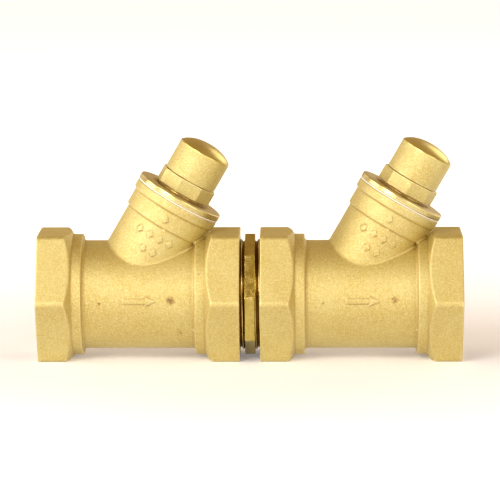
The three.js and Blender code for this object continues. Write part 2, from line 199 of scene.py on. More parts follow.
def smooth_step(value, low, high):
    """0 below low, 1 above high and smooth between them."""
    t = np.clip((value - low) / (high - low), 0, 1)
    return t * t * (3 - 2 * t)


def branch_place(x, z):
    """A point of a unit's XZ plane as (along the branch axis, across it)."""
    return x * LEAN_SIN + z * LEAN_COS, x * LEAN_COS - z * LEAN_SIN


def unit_place(across, along):
    """The reverse of branch_place."""
    return along * LEAN_SIN + across * LEAN_COS, along * LEAN_COS - across * LEAN_SIN


def run_outside(end, r, y, z):
    """Hexagons, ring collars and barrel of the pipe run."""
    slope = 0.866 * np.abs(y)
    hexagon = common(slope + 0.5 * z - HEXAGON_HALF, slope - 0.5 * z - HEXAGON_HALF, HEXAGON_EDGE)
    hexagon = common(hexagon, np.abs(z) - HEXAGON_HALF, HEXAGON_EDGE)
    hexagon = common(hexagon, -end, 0.6)
    cone = 0.882 * (end - SHOULDER_END) + 0.471 * (r - RING_RADIUS)
    hexagon = common(hexagon, cone, 0.6)
    collar = common(r - RING_RADIUS, end - RING_END, 0.6)
    pipe = join(collar, r - BARREL_RADIUS, 1.7)
    return join(common(pipe, 2 - end), hexagon, 0.35)


def branch_outside(along, rb):
    """Tube, band and rim of the leaning branch."""
    tube = common(rb - BRANCH_RADIUS, 4 - along)
    band = common(rb - BAND_RADIUS, BAND_FROM - along, 1.1)
    rim = common(rb - RIM_RADIUS, RIM_FROM - along, 1.25)
    return common(join(join(tube, band, 0.3), rim, 0.25), along - RIM_TO, 0.4)


def lozenges(y, along, across, rb):
    """Small raised marks on the front of the branch."""
    places = [(-1.2, 49.2), (-10.6, 38.2), (-4.6, 38.2), (1.4, 38.2), (7.4, 38.2), (-4.2, 30.2), (1.8, 30.2)]
    marks = np.full(np.shape(y), 9.0)
    for place, height in places:
        skin = (BAND_RADIUS if height > BAND_FROM else BRANCH_RADIUS) + 0.5
        turned = np.arcsin(np.clip(across / skin, -1, 1)) * skin
        centre = math.asin(place / skin) * skin
        diamond = (np.abs(turned - centre) * 1.2 + np.abs(along - height) - 2.3) * 0.64
        marks = np.minimum(marks, common(common(diamond, rb - skin, 0.3), y + 1))
    return marks


def flow_arrow(x, y, z, r):
    """The raised arrow on the front of the barrel, pointing downstream."""
    middle, low, tail, neck, tip = 9.3, 0.3, -9.0, 3.6, 9.0
    half_shaft, half_head = 1.3, 2.75
    corners = [(tail, -half_shaft), (neck, -half_shaft), (neck - 0.6, -half_head), (tip, 0)]
    corners += [(neck - 0.6, half_head), (neck, half_shaft), (tail, half_shaft)]
    outline = polygon(x - middle, z - low, corners)
    return common(common(outline, r - BARREL_RADIUS - 0.5, 0.35), y + 1)


def partition(x, z):
    """The S-shaped wall that carries the seat, as an outline in a unit's XZ plane."""
    top, under, back, wall_x = 24, SEAT_AT - 3, -CHAMBER - 3, unit_place(19.5, SEAT_AT)[0]
    wall_left = wall_x - 3
    across_under = (wall_left - under * LEAN_SIN) / LEAN_COS
    corners = [unit_place(back, top), unit_place(back, under), unit_place(across_under, under)]
    corners += [(wall_left, -BORE - 1), (wall_x, -BORE - 1), unit_place(19.5, SEAT_AT)]
    corners += [unit_place(-CHAMBER, SEAT_AT), unit_place(-CHAMBER, top)]
    return polygon(x, z, corners)


def body_shape(x, y, z):
    """One strainer body in its unit's frame."""
    end = UNIT_LENGTH / 2 - np.abs(x - UNIT_MIDDLE)
    r = np.hypot(y, z)
    along, across = branch_place(x, z)
    rb = np.hypot(across, y)
    run = run_outside(end, r, y, z)
    branch = branch_outside(along, rb)
    outside = join(run, branch, 0.8)
    bead = np.hypot(run, branch) - 0.6 * smooth_step(across, -4, 9) - 0.35 * smooth_step(across, 12, 18)
    outside = join(outside, common(bead, 12 - along), 0.35)
    outside = join(outside, lozenges(y, along, across, rb), 0.3)
    outside = join(outside, flow_arrow(x, y, z, r), 0.25)
    mouth = 0.707 * (r - SOCKET - 0.9 + end)
    hollow = join(join(r - BORE, common(r - SOCKET, end - SOCKET_DEPTH)), common(mouth, end - 3))
    shell = common(outside, -hollow, 0.2)
    shell = join(shell, common(partition(x, z), r - BORE - 0.4), 1.2)
    chamber = common(common(rb - CHAMBER, SEAT_AT - along), along - CHAMBER_TO)
    mouth = common(0.707 * (rb - PLUG_BORE - 0.5 - along + RIM_TO), along - RIM_TO - 1)
    cavity = join(chamber, common(rb - PLUG_BORE, CHAMBER_TO - 0.1 - along))
    cavity = join(cavity, common(mouth, RIM_TO - 2 - along))
    cavity = join(cavity, common(common(rb - SEAT_HOLE, SEAT_AT - 10 - along), along - SEAT_AT - 0.1))
    lip_middle, lip_half = (SEAT_HOLE + SEAT_LIP) / 2, (SEAT_LIP - SEAT_HOLE) / 2
    lip = common(np.abs(rb - lip_middle) - lip_half, np.abs(along - SEAT_AT) - 1, 0.2)
    return join(common(shell, -cavity, 0.2), lip, 0.2)


def prism_shape(x, y, sides, half, turn, edge):
    """Distance field of a regular prism about Z with a flat facing +X before it is turned."""
    shape = None
    for i in range(sides):
        angle = turn + FULL_TURN * i / sides
        flat = x * math.cos(angle) + y * math.sin(angle) - half
        shape = flat if shape is None else common(shape, flat, edge)
    return shape


def bonnet_shape(octagon_turn):
    """The bonnet in the branch frame: plug, disc, octagon and nose, bored for the spindle."""

    def shape(x, y, z):
        r = np.hypot(x, y)
        disc = common(common(r - DISC_RADIUS, z - DISC_TOP, 0.7), DISC_FROM - z, 0.25)
        octagon = prism_shape(x, y, 8, OCTAGON_HALF, octagon_turn, 0.35)
        octagon = common(octagon, 0.5 * (z - OCTAGON_TO) + 0.866 * (r - 15.7), 0.25)
        octagon = common(common(octagon, z - OCTAGON_TO, 0.25), OCTAGON_FROM - z, 0.25)
        hub = common(common(r - HUB_RADIUS, z - OCTAGON_FROM - 0.5), 60 - z)
        octagon = join(octagon, hub)
        nose = common(common(r - NOSE_RADIUS, z - NOSE_TO, 0.4), 60 - z)
        plug = common(common(r - PLUG_RADIUS, PLUG_FROM - z, 0.4), z - 60.5)
        spigot = common(common(r - SPIGOT_RADIUS, SPIGOT_FROM - z, 0.4), z - 50)
        snout = common(common(r - SNOUT_RADIUS, SNOUT_FROM - z, 0.4), z - 50)
        solid = join(join(disc, octagon, 0.35), nose, 0.3)
        solid = join(solid, join(join(plug, spigot), snout, 0.5))
        solid = join(solid, common(r - 19.3, np.abs(z - 59.4) - 0.8))
        hollow = join(r - STEM_BORE, join(common(r - 8.5, 72 - z), common(r - 7.3, z - 54.6)))
        return common(solid, -hollow, 0.2)

    return shape


def collar_shape(x, y, z):
    """The octagonal collar of the nipple, about Z."""
    octagon = prism_shape(x, y, 8, 30.1, math.radians(18.8), 0.5)
    octagon = common(octagon, np.abs(z) - COLLAR_HALF_WIDTH, 0.35)
    return common(octagon, 25.3 - np.hypot(x, y))


def nut_shape(x, y, z):
    """The hexagon nut under the disc."""
    r = np.hypot(x, y)
    level = np.abs(z - NUT_MIDDLE) - NUT_HALF_HEIGHT
    nut = common(prism_shape(x, y, 6, 6, 0, 0.2), level, 0.15)
    nut = common(nut, 0.5 * level + 0.866 * (r - 6.35), 0.1)
    return common(nut, 4.3 - r, 0.1)


def square_shape(x, y, z):
    """The square drive end of the spindle."""
    square = prism_shape(x, y, 4, SQUARE_HALF, 0, 0.3)
    square = common(square, 0.6 * (z - SQUARE_TO) + 0.8 * (np.hypot(x, y) - 4.9), 0.1)
    return common(common(square, z - SQUARE_TO, 0.2), 67 - z)


# ---------------------------------------------------------------------------------------------------------- meshes


def gradient(shape, points, step=0.05):
    """Unit outward direction of a distance field at each point."""
    total = np.zeros_like(points)
    for corner in ((1, 1, 1), (1, -1, -1), (-1, 1, -1), (-1, -1, 1)):
        moved = points + step * np.array(corner)
        total += shape(*moved.T)[:, None] * np.array(corner)
    return total / np.maximum(np.linalg.norm(total, axis=1), 1e-9)[:, None]


def crossings(shape, field, start, axes, direction, cell):
    """Where the surface crosses the grid edges that leave the start nodes along one axis.

    Also gives the surface's outward direction there.
    """
    low = np.stack([axes[i][start[:, i]] for i in range(3)], 1)
    step = np.zeros(3)
    step[direction] = cell
    after = start.copy()
    after[:, direction] += 1
    f_low, f_high = field[tuple(start.T)], field[tuple(after.T)]
    t_low, t_high = np.zeros(len(start)), np.ones(len(start))
    for _ in range(4):
        t = np.clip(t_low - f_low * (t_high - t_low) / (f_high - f_low), 0, 1)
        f = shape(*(low + t[:, None] * step).T)
        same = (f < 0) == (f_low < 0)
        t_low, f_low = np.where(same, t, t_low), np.where(same, f, f_low)
        t_high, f_high = np.where(same, t_high, t), np.where(same, f_high, f)
        f_high = np.where(f_high == f_low, f_high + 1e-9, f_high)
    points = low + t[:, None] * step
    return points, gradient(shape, points)


def contour(shape, low, high, cell):
    """Dual contouring: a quad mesh of a distance field's zero level, as (vertices, quads, normals)."""
    axes = [np.arange(low[i] - 1.3 * cell, high[i] + 1.7 * cell, cell) for i in range(3)]
    field = shape(*np.meshgrid(*axes, indexing="ij", copy=False))
    inside = field < 0
    size = np.array(field.shape)
    points, normals, cells = [], [], []
    for direction in range(3):
        first = [slice(None)] * 3
        second = [slice(None)] * 3
        first[direction], second[direction] = slice(0, -1), slice(1, None)
        start = np.argwhere(inside[tuple(first)] != inside[tuple(second)])
        found, facing = crossings(shape, field, start, axes, direction, cell)
        a, b = (direction + 1) % 3, (direction + 2) % 3
        around = np.repeat(start[:, None, :], 4, axis=1)
        around[:, 1:3, a] -= 1
        around[:, 2:4, b] -= 1
        outward = inside[tuple(start.T)]
        around = np.where(outward[:, None, None], around, around[:, ::-1])
        points.append(found)
        normals.append(facing)
        cells.append((around[..., 0] * size[1] + around[..., 1]) * size[2] + around[..., 2])
    points, normals, cells = np.concatenate(points), np.concatenate(normals), np.concatenate(cells)
    names, owner = np.unique(cells.ravel(), return_inverse=True)
    count = len(names)
    share = np.bincount(owner, minlength=count)

    def gather(values):
        return np.bincount(owner, np.repeat(values, 4), minlength=count)

    middle = np.stack([gather(points[:, i]) for i in range(3)], 1) / share[:, None]
    square, right = np.zeros((count, 3, 3)), np.zeros((count, 3))
    offset = (normals * points).sum(1)
    for i in range(3):
        right[:, i] = gather(normals[:, i] * offset)
        for j in range(3):
            square[:, i, j] = gather(normals[:, i] * normals[:, j])
    right -= np.einsum("nij,nj->ni", square, middle)
    square += 0.04 * np.eye(3)
    vertices = middle + np.linalg.solve(square, right[..., None])[..., 0]
    corner = np.stack(np.unravel_index(names, size), 1) * cell + [axes[i][0] for i in range(3)]
    vertices = np.clip(vertices, corner - 0.05 * cell, corner + 1.05 * cell)
    vertices = np.clip(vertices, low, high)
    return vertices, owner.reshape(-1, 4), gradient(shape, vertices, 0.12)


def rounded(outline, steps=5):
    """Closely spaced points, and their outward directions, along an outline of (radius, height, rounding) corners."""
    corners = np.array([point[:2] for point in outline], float)
    points, directions = [], []
    for i, (_, _, rounding) in enumerate(outline):
        before, here, after = corners[i - 1], corners[i], corners[(i + 1) % len(corners)]
        back, ahead = before - here, after - here
        reach_back, reach_ahead = np.linalg.norm(back), np.linalg.norm(ahead)
        cosine = np.clip(back @ ahead / (reach_back * reach_ahead), -1, 1)
        cut = max(max(rounding, 0.04) / math.tan(max(math.acos(cosine), 0.05) / 2), 0.02)
        start = here + back / reach_back * min(cut, 0.49 * reach_back)
        stop = here + ahead / reach_ahead * min(cut, 0.49 * reach_ahead)
        for t in np.linspace(0, 1, steps):
            points.append((1 - t) ** 2 * start + 2 * t * (1 - t) * here + t * t * stop)
            tangent = (1 - t) * (here - start) + t * (stop - here)
            directions.append(np.array([tangent[1], -tangent[0]]) / np.linalg.norm(tangent))
    return np.array(points), np.array(directions)


def grid_faces(rows, columns, closed):
    """Quads of a grid that wraps round its columns, and round its rows too when closed."""
    row = np.arange(rows if closed else rows - 1)[:, None]
    column = np.arange(columns)[None, :]
    after, beside = (row + 1) % rows, (column + 1) % columns
    here, there = row * columns, after * columns
    corners = [here + column, here + beside, there + beside, there + column]
    return np.stack([np.broadcast_to(c, (len(row), columns)) for c in corners], -1).reshape(-1, 4)


def turned(outline, segments=128):
    """A ring about Z from a closed anticlockwise outline of (radius, height, rounding) corners."""
    points, directions = rounded(outline)
    angle = np.arange(segments) * FULL_TURN / segments
    spin = np.stack([np.cos(angle), np.sin(angle)], 1)
    vertices = np.empty((len(points), segments, 3))
    normals = np.empty_like(vertices)
    vertices[..., :2], vertices[..., 2] = points[:, None, :1] * spin, points[:, None, 1]
    normals[..., :2], normals[..., 2] = directions[:, None, :1] * spin, directions[:, None, 1]
    travel = np.concatenate([[0], np.cumsum(np.linalg.norm(np.diff(points, axis=0), axis=1))])
    profile = np.repeat(travel, segments)
    return vertices.reshape(-1, 3), grid_faces(len(points), segments, True), normals.reshape(-1, 3), profile


def tooth(phase):
    """Height of a 60-degree thread, 0 at its root and 1 at its crest."""
    rise = 1 - np.abs(2 * (phase % 1) - 1)
    return np.clip((rise - 0.14) / 0.7, 0, 1)


def threaded(inner, outer, low, high, pitch, segments=128, lead=1.0):
    """A sleeve about Z. A wall is a radius, or the radii of a right-hand thread's root and crest."""
    heights = np.linspace(low, high, int((high - low) / pitch * 12) + 1)
    angle = np.arange(segments) * FULL_TURN / segments
    phase = heights[:, None] / pitch - angle[None, :] / FULL_TURN
    fade = smooth_step(heights, low, low + lead) * smooth_step(-heights, -high, lead - high)

    def wall(radii):
        if not isinstance(radii, tuple):
            return np.full(phase.shape, float(radii))
        root, crest = radii
        return root + (crest - root) * tooth(phase) * fade[:, None]

    radius = np.concatenate([wall(outer), wall(inner)[::-1]])
    height = np.concatenate([heights, heights[::-1]])
    level = np.repeat(height[:, None], segments, 1)
    vertices = np.stack([radius * np.cos(angle), radius * np.sin(angle), level], -1)
    profile = np.repeat(height, segments)
    return vertices.reshape(-1, 3), grid_faces(len(height), segments, True), None, profile


def perforated(inner, outer, low, high, columns, hole):
    """A cylinder wall about Z with staggered rows of round holes."""
    pitch = FULL_TURN * outer / columns
    rows = int((high - low) / pitch)
    step = (high - low) / rows
    around = 12
    angle = (np.arange(around) + 0.5) * FULL_TURN / around
    square = np.stack([np.cos(angle), np.sin(angle)], 1)
    square = square / np.abs(square).max(1)[:, None] / 2
    circle = np.stack([np.cos(angle), np.sin(angle)], 1) * hole
    cell = np.concatenate([square * [pitch, step], circle])
    flat = np.concatenate([cell, cell])
    depth = np.repeat([outer, inner], len(cell))
    i = np.arange(around)
    j = (i + 1) % around
    n = 2 * around
    front = np.stack([i, j, j + around, i + around], 1)
    back = front[:, ::-1] + n
    wall = np.stack([i + around, j + around, j + around + n, i + around + n], 1)
    tile = np.concatenate([front, back, wall])
    vertices, faces = [], []
    for row in range(rows):
        for column in range(columns):
            turn = (flat[:, 0] + (column + row % 2 / 2) * pitch) / outer
            height = flat[:, 1] + low + (row + 0.5) * step
            faces.append(tile + len(vertices) * 2 * n)
            vertices.append(np.stack([depth * np.cos(turn), depth * np.sin(turn), height], 1))
    vertices = np.concatenate(vertices)
    return vertices, np.concatenate(faces), None, vertices[:, 2]


def merged(*parts):
    """Several meshes as one."""
    vertices, faces, normals, profiles, count = [], [], [], [], 0
    for part in parts:
        vertices.append(part[0])
        faces.append(part[1] + count)
        normals.append(part[2] if part[2] is not None else np.zeros_like(part[0]))
        profiles.append(part[3])
        count += len(part[0])
    return tuple(np.concatenate(values) for values in (vertices, faces, normals, profiles))


def contoured(shape, low, high, cell):
    """A contour mesh with a profile attribute that runs over radius and height, for its tool marks."""
    vertices, faces, normals = contour(shape, low, high, cell)
    return vertices, faces, normals, np.hypot(vertices[:, 0], vertices[:, 1]) + vertices[:, 2]


def make_mesh(name, part, where, **attributes):
    """A smooth-shaded Blender mesh in metres, put in place, with float attributes on its vertices."""
    vertices, faces, normals, profile = part
    turn = np.array(where.to_3x3())
    vertices = vertices @ turn.T + np.array(where.translation) / MM
    mesh = bpy.data.meshes.new(name)
    mesh.vertices.add(len(vertices))
    mesh.vertices.foreach_set("co", (vertices * MM).astype(np.float32).ravel())
    mesh.loops.add(faces.size)
    mesh.loops.foreach_set("vertex_index", faces.astype(np.int32).ravel())
    mesh.polygons.add(len(faces))
    mesh.polygons.foreach_set("loop_start", np.arange(0, faces.size, 4, dtype=np.int32))
    mesh.update(calc_edges=True)
    mesh.validate()
    for key, values in {"profile": profile, **attributes}.items():
        layer = mesh.attributes.new(key, "FLOAT", "POINT")
        layer.data.foreach_set("value", np.broadcast_to(values, len(vertices)).astype(np.float32))
    mesh.polygons.foreach_set("use_smooth", np.ones(len(mesh.polygons), bool))
    if normals is not None:
        mesh.normals_split_custom_set_from_vertices((normals @ turn.T).tolist())
    return mesh


# ------------------------------------------------------------------------------------------------------- materials


class Finish:
    """A procedural material under construction, with short names for its nodes."""

    def __init__(self, name):
        self.material = bpy.data.materials.new(name)
        self.material.use_nodes = True
        self.tree = self.material.node_tree
        self.shader = self.tree.nodes["Principled BSDF"]
        self.place = self.node("ShaderNodeTexCoord").outputs["Object"]

    def put(self, socket, value):
        if isinstance(value, bpy.types.NodeSocket):
            self.tree.links.new(value, socket)
        else:
            socket.default_value = value

    def node(self, kind, values=None, **settings):
        node = self.tree.nodes.new(kind)
        for key, value in settings.items():
            setattr(node, key, value)
        for key, value in (values or {}).items():
            self.put(node.inputs[key], value)
        return node

    def attribute(self, name):
        return self.node("ShaderNodeAttribute", attribute_name=name).outputs["Fac"]

    def noise(self, size_mm, detail=2.0, roughness=0.5, distortion=0.0):
        """Noise with features of about that size, from 0 to 1 with a mean of 0.5."""
        values = {"Vector": self.place, "Scale": 1 / (size_mm * MM), "Detail": detail}
        values.update({"Roughness": roughness, "Distortion": distortion})
        return self.node("ShaderNodeTexNoise", values).outputs[0]

    def streaks(self, size_mm):
        """Noise that varies only along the profile attribute, as tool marks do."""
        values = {"W": self.attribute("profile"), "Scale": 1 / size_mm, "Detail": 2.0, "Roughness": 0.6}
        return self.node("ShaderNodeTexNoise", values, noise_dimensions="1D").outputs[0]

    def pits(self, spacing_mm, radius):
        """1 in small scattered round spots and 0 elsewhere. The radius is a share of the spacing."""
        spacing = spacing_mm * MM
        warp = self.node("ShaderNodeTexNoise", {"Vector": self.place, "Scale": 1 / (0.5 * spacing)}).outputs[1]
        moved = self.vector("MULTIPLY", warp, (0.35 * spacing,) * 3)
        moved = self.vector("ADD", moved, self.place)
        spots = self.node("ShaderNodeTexVoronoi", {"Vector": moved, "Scale": 1 / spacing})
        few = self.node("ShaderNodeSeparateColor", {0: spots.outputs["Color"]}).outputs[0]
        size = self.map(few, 0.55, 1.0, 0.0, radius)
        return self.map(self.math("SUBTRACT", size, spots.outputs["Distance"]), 0.0, 0.3 * radius)

    def map(self, value, low, high, to_low=0.0, to_high=1.0):
        values = {"Value": value, "From Min": low, "From Max": high, "To Min": to_low, "To Max": to_high}
        return self.node("ShaderNodeMapRange", values).outputs[0]

    def math(self, operation, a, b=0.0):
        return self.node("ShaderNodeMath", {0: a, 1: b}, operation=operation).outputs[0]

    def vector(self, operation, a, b):
        return self.node("ShaderNodeVectorMath", {0: a, 1: b}, operation=operation).outputs[0]

    def mix(self, share, a, b):
        """Colour a where the share is 0 and b where it is 1."""
        a, b = [(*c, 1.0) if isinstance(c, tuple) else c for c in (a, b)]
        return self.node("ShaderNodeMix", {0: share, 6: a, 7: b}, data_type="RGBA").outputs[2]

    def blend(self, share, a, b):
        return self.node("ShaderNodeMix", {0: share, 2: a, 3: b}, data_type="FLOAT").outputs[0]

    def edge_wear_and_crease_shade(self):
        """0 in creases, 0.5 on flat places and 1 on edges, for edge wear and for painted shade in creases."""
        return self.map(self.node("ShaderNodeNewGeometry").outputs["Pointiness"], 0.44, 0.56)

    def bump(self, height, depth_mm, strength=1.0, onto=None):
        values = {"Height": height, "Distance": depth_mm * MM, "Strength": strength}
        if onto is not None:
            values["Normal"] = onto
        return self.node("ShaderNodeBump", values).outputs[0]

    def done(self, color, roughness, normal, metallic=1.0, **values):
        settings = {"Base Color": color, "Roughness": roughness, "Metallic": metallic}
        if normal is not None:
            settings["Normal"] = normal
        for key, value in {**settings, **values}.items():
            self.put(self.shader.inputs[key.replace("_", " ")], value)
        return self.material


def blasted_brass(name):
    """Hot-formed brass after sand blasting: fine grain, casting waves, pits, painted shade in creases and tool marks.
    """
    finish = Finish(name)
    grain = finish.noise(0.65, 3.0, 0.75)
    waves = finish.noise(7.0, 2.0)
    patches = finish.noise(24.0, 3.0, 0.6, 0.4)
    edge_wear_and_crease_shade = finish.edge_wear_and_crease_shade()
    large_pits = finish.pits(6.5, 0.085)
    small_pits = finish.pits(2.6, 0.11)
    color = finish.mix(finish.map(patches, 0.32, 0.68), BLASTED_DEEP, BLASTED_LIGHT)
    color = finish.mix(finish.map(grain, 0.38, 0.64), color, PALE_GRAIN)
    # Painted shade: creases are darkened towards the stain colour.
    color = finish.mix(finish.map(edge_wear_and_crease_shade, 0.44, 0.05, 0.0, 0.75), color, BLASTED_STAIN_AND_SHADE)
    color = finish.mix(finish.map(edge_wear_and_crease_shade, 0.6, 1.0, 0.0, 0.5), color, BLASTED_EDGE)
    color = finish.mix(finish.math("MULTIPLY", large_pits, 0.8), color, BLASTED_STAIN_AND_SHADE)
    color = finish.mix(finish.math("MULTIPLY", small_pits, 0.4), color, BLASTED_STAIN_AND_SHADE)
    # This attribute carries real stains on the body and painted shade on the bonnet disc round its hub.
    soil = finish.math("ADD", finish.attribute("soil"), finish.noise(1.1, 4.0, 0.7))
    stain_and_shade_blot = finish.map(soil, 0.98, 1.15)
    color = finish.mix(finish.math("MULTIPLY", stain_and_shade_blot, 0.85), color, BLASTED_STAIN_AND_SHADE)
    color = finish.mix(finish.map(soil, 1.18, 1.3, 0.0, 0.7), color, DARK_SPECK)
    rough = finish.map(finish.noise(2.5, 3.0), 0.3, 0.7, 0.6, 0.7)
    machined = finish.attribute("machined")
    tool_marks = finish.streaks(0.12)
    rough = finish.blend(machined, rough, finish.map(tool_marks, 0.3, 0.7, 0.22, 0.36))
    rough = finish.blend(stain_and_shade_blot, rough, 0.6)
    normal = finish.bump(waves, 0.22, 0.5)
    normal = finish.bump(grain, 0.2, finish.blend(machined, 0.9, 0.08), normal)
    normal = finish.bump(tool_marks, 0.02, finish.math("MULTIPLY", machined, 0.8), normal)
    pits = finish.math("ADD", large_pits, small_pits)
    normal = finish.bump(finish.math("MULTIPLY", pits, -1.0), 0.16, 0.8, normal)
    return finish.done(color, rough, normal, Coat_Weight=0.9, Coat_Roughness=0.6, Coat_IOR=1.8)


def spindle_finish():
    """Machined brass: fine tool marks along the profile, faint smudges, specks and painted shade in creases."""
    finish = Finish("spindle_brass")
    tool_marks = finish.streaks(0.14)
    broad = finish.streaks(0.84)
    smudge = finish.noise(5.0, 4.0, 0.6, 0.8)
    specks = finish.pits(3.2, 0.09)
    edge_wear_and_crease_shade = finish.edge_wear_and_crease_shade()
    color = finish.mix(finish.map(broad, 0.3, 0.7), TURNED_DEEP, TURNED_LIGHT)
    color = finish.mix(finish.map(smudge, 0.5, 0.75, 0.0, 0.3), color, TURNED_DEEP)
    # Painted shade: creases are darkened towards the stain colour.
    color = finish.mix(finish.map(edge_wear_and_crease_shade, 0.42, 0.0, 0.0, 0.5), color, TURNED_STAIN_AND_SHADE)
    color = finish.mix(finish.math("MULTIPLY", specks, 0.5), color, TURNED_STAIN_AND_SHADE)
    roughness = finish.map(tool_marks, 0.3, 0.7, 0.22, 0.34)
    roughness = finish.math("ADD", roughness, finish.map(smudge, 0.45, 0.75, 0.0, 0.12))
    normal = finish.bump(tool_marks, 0.014, 0.8)
    normal = finish.bump(finish.noise(0.5, 2.0), 0.012, 0.4, normal)
    return finish.done(color, roughness, normal)


def cap_finish():
    """Blasted brass on the cylinder and polished brass on the dome, with a few specks."""
    finish = Finish("cap_brass")
    polish = finish.attribute("polish")
    grain = finish.noise(0.65, 3.0, 0.75)
    patches = finish.noise(14.0, 3.0, 0.6, 0.4)
    edge_wear_and_crease_shade = finish.edge_wear_and_crease_shade()
    specks = finish.pits(3.4, 0.1)
    color = finish.mix(finish.map(patches, 0.32, 0.68), BLASTED_DEEP, BLASTED_LIGHT)
    color = finish.mix(finish.map(grain, 0.38, 0.64), color, PALE_GRAIN)
    dome = finish.mix(finish.map(patches, 0.35, 0.65), DOME_DEEP, DOME_LIGHT)
    color = finish.mix(polish, color, dome)
    color = finish.mix(finish.map(edge_wear_and_crease_shade, 0.6, 1.0, 0.0, 0.4), color, CAP_EDGE_WEAR)
    color = finish.mix(finish.math("MULTIPLY", specks, 0.6), color, CAP_SPECK)
    satin = finish.map(finish.noise(2.5, 3.0), 0.3, 0.7, 0.62, 0.72)
    shine = finish.map(finish.noise(1.6, 4.0, 0.7), 0.3, 0.7, 0.3, 0.36)
    normal = finish.bump(finish.noise(5.0, 2.0), 0.16, finish.blend(polish, 0.5, 0.1))
    normal = finish.bump(grain, 0.2, finish.blend(polish, 0.9, 0.02), normal)
    normal = finish.bump(finish.streaks(0.2), 0.01, 0.5, normal)
    rough = finish.blend(polish, satin, shine)
    return finish.done(color, rough, normal, Coat_Weight=0.9, Coat_Roughness=0.6, Coat_IOR=1.8)


def nipple_finish():
    """Dark, oiled brass with bright thread crests and painted shade in the thread roots and the bore."""
    finish = Finish("nipple_brass")
    crest = finish.attribute("crest")
    smudge = finish.noise(3.0, 4.0, 0.6, 0.6)
    tool_marks = finish.streaks(0.12)
    specks = finish.pits(2.2, 0.12)
    color = finish.mix(finish.map(smudge, 0.35, 0.7), NIPPLE_DEEP, NIPPLE_LIGHT)
    # Painted shade: thread roots and the bore are darkened.
    color = finish.mix(finish.map(crest, 0.75, 0.0), color, THREAD_ROOT_SHADE)
    color = finish.mix(finish.map(crest, 0.86, 1.0, 0.0, 0.7), color, THREAD_CREST)
    color = finish.mix(finish.math("MULTIPLY", specks, 0.6), color, NIPPLE_SPECK)
    rough = finish.map(smudge, 0.3, 0.7, 0.16, 0.28)
    normal = finish.bump(tool_marks, 0.005, 0.4)
    normal = finish.bump(finish.noise(1.1, 2.0), 0.008, 0.4, normal)
    return finish.done(color, rough, normal)


def plain_finish(name, light, deep, rough, grain_mm, depth_mm, metallic=0.0):
    """Rubber, plastic or sheet steel, with a fine grain and faint variation."""
    finish = Finish(name)
    grain = finish.noise(grain_mm, 3.0, 0.6)
    patches = finish.noise(4.0, 3.0)
    color = finish.mix(finish.map(patches, 0.3, 0.7), deep, light)
    low, high = rough
    normal = finish.bump(grain, depth_mm, 0.7)
    return finish.done(color, finish.map(grain, 0.3, 0.7, low, high), normal, metallic)


def floor_finish():
    """Pale studio paper with painted light: it glows a little near the object and more brightly away from it, which
    makes it white.
    """
    finish = Finish("studio_paper")
    fibres = finish.noise(1.2, 3.0)
    color = finish.mix(finish.map(finish.noise(90.0, 2.0), 0.3, 0.7), PAPER_DEEP, PAPER_LIGHT)
    reach = finish.node("ShaderNodeVectorMath", {0: finish.place}, operation="LENGTH").outputs["Value"]
    # Painted light: the paper's glow is dim near the object and brighter away from it.
    glow = finish.mix(finish.map(reach, 0.14, 0.6), FLOOR_GLOW_NEAR, FLOOR_GLOW_FAR)
    normal = finish.bump(fibres, 0.05, 0.3)
    rough = finish.map(fibres, 0.3, 0.7, 0.7, 0.85)
    return finish.done(color, rough, normal, 0.0, Emission_Color=glow, Emission_Strength=1.0)


finishes = {
    "cast_brass": blasted_brass("cast_brass"),
    "cap_brass": cap_finish(),
    "turned_brass": blasted_brass("turned_brass"),
    "nipple_brass": nipple_finish(),
    "spindle_brass": spindle_finish(),
    "stainless_steel": plain_finish(
        "stainless_steel", light=(0.62, 0.62, 0.61), deep=(0.5, 0.5, 0.5), rough=(0.26, 0.38),
        grain_mm=0.5, depth_mm=0.01, metallic=1.0,
    ),
    "white_ptfe": plain_finish(
        "white_ptfe", light=(0.93, 0.92, 0.9), deep=(0.86, 0.85, 0.82), rough=(0.4, 0.55),
        grain_mm=0.6, depth_mm=0.02,
    ),
    "black_rubber": plain_finish(
        "black_rubber", light=(0.035, 0.035, 0.036), deep=(0.022, 0.022, 0.022), rough=(0.5, 0.7),
        grain_mm=0.3, depth_mm=0.02,
    ),
}


# ---------------------------------------------------------------------------------------------------------- pieces


def place_piece(name, part, where, body, slot, nodes, **attributes):
    """Makes a piece in place, and lets it ride on its body and stand for its CAD nodes."""
    mesh = make_mesh(name, part, where, **attributes)
    mesh.materials.append(finishes[slot])
    piece = bpy.data.objects.new(name + "_look", mesh)
    bpy.context.scene.collection.objects.link(piece)
    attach(piece, body)
    if nodes:
        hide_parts(*nodes)


def joint(name):
    return next(j for j in frame["joints"] if j["name"] == name)


def unit_frames(unit):
    """Matrices of a unit's frame and its branch frame."""
    turn = joint(f"{unit}_bonnet_turn")
    origin = Matrix.Translation(Vector(turn["pos_m"]))
    lean = math.atan2(turn["axis"][0], turn["axis"][2])
    return origin, origin @ Matrix.Rotation(lean, 4, "Y")


